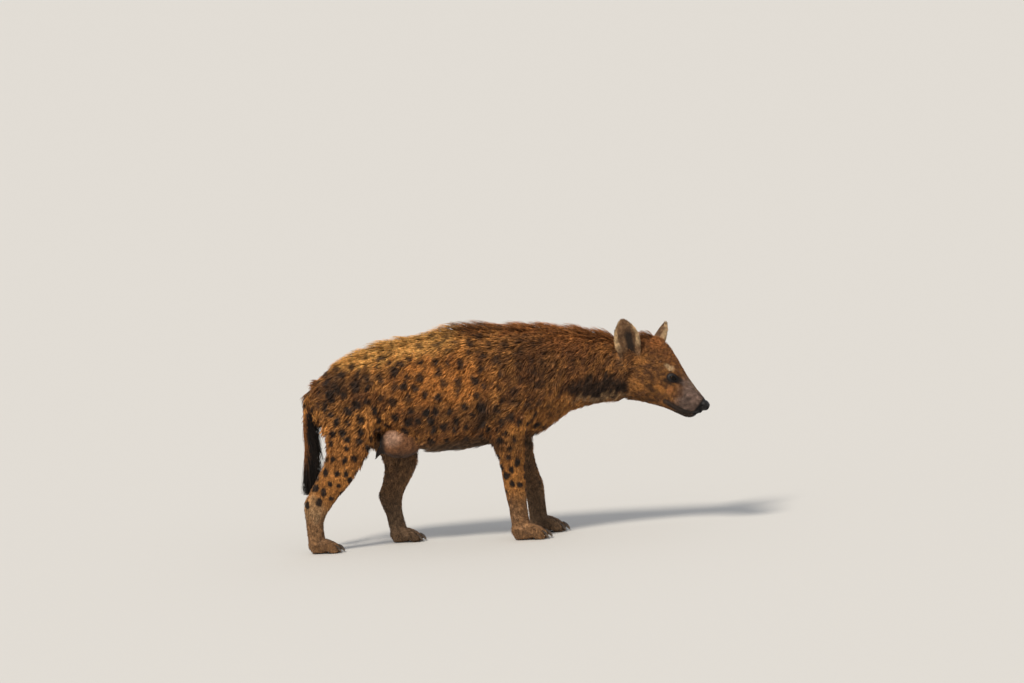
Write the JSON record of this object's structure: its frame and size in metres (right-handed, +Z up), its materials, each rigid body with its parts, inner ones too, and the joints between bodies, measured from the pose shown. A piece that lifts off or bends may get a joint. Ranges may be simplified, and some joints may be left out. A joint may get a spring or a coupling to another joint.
{
  "type": "spotted hyena life-size model",
  "caption": "Still life-size model of an adult female spotted hyena, walking with her head held low, for a natural history display.",
  "frame": {"origin": "on the floor under the middle of the animal's box", "axes": "+X the way the animal faces, +Y to its left, +Z up"},
  "size_m": [1.4446, 0.2798, 0.7752],
  "materials": {
    "coat": "shaggy short fur, tawny brown with dark spots",
    "tail_hair": "long coarse black hair",
    "bare_skin": "thinly haired skin of the udder",
    "dark_skin": "moist dark skin of nose and lips",
    "eye": "wet, very dark brown eye",
    "claw": "dull dark horn"
  },
  "bodies": {
    "root": {"torso": "coat", "neck": "coat", "head": "coat", "lower_jaw": "coat", "nose": "dark_skin", "ear_right": "coat", "ear_left": "coat", "eye_right": "eye", "eye_left": "eye", "foreleg_right": "coat", "foreleg_left": "coat", "hindleg_right": "coat", "hindleg_left": "coat", "forepaw_right": "coat", "forepaw_left": "coat", "hindpaw_right": "coat", "hindpaw_left": "coat", "claw_fore_right_1": "claw", "claw_fore_right_2": "claw", "claw_fore_right_3": "claw", "claw_fore_right_4": "claw", "claw_fore_left_1": "claw", "claw_fore_left_2": "claw", "claw_fore_left_3": "claw", "claw_fore_left_4": "claw", "claw_hind_right_1": "claw", "claw_hind_right_2": "claw", "claw_hind_right_3": "claw", "claw_hind_right_4": "claw", "claw_hind_left_1": "claw", "claw_hind_left_2": "claw", "claw_hind_left_3": "claw", "claw_hind_left_4": "claw", "tail": "tail_hair", "udder": "bare_skin"}
  },
  "joints": []
}
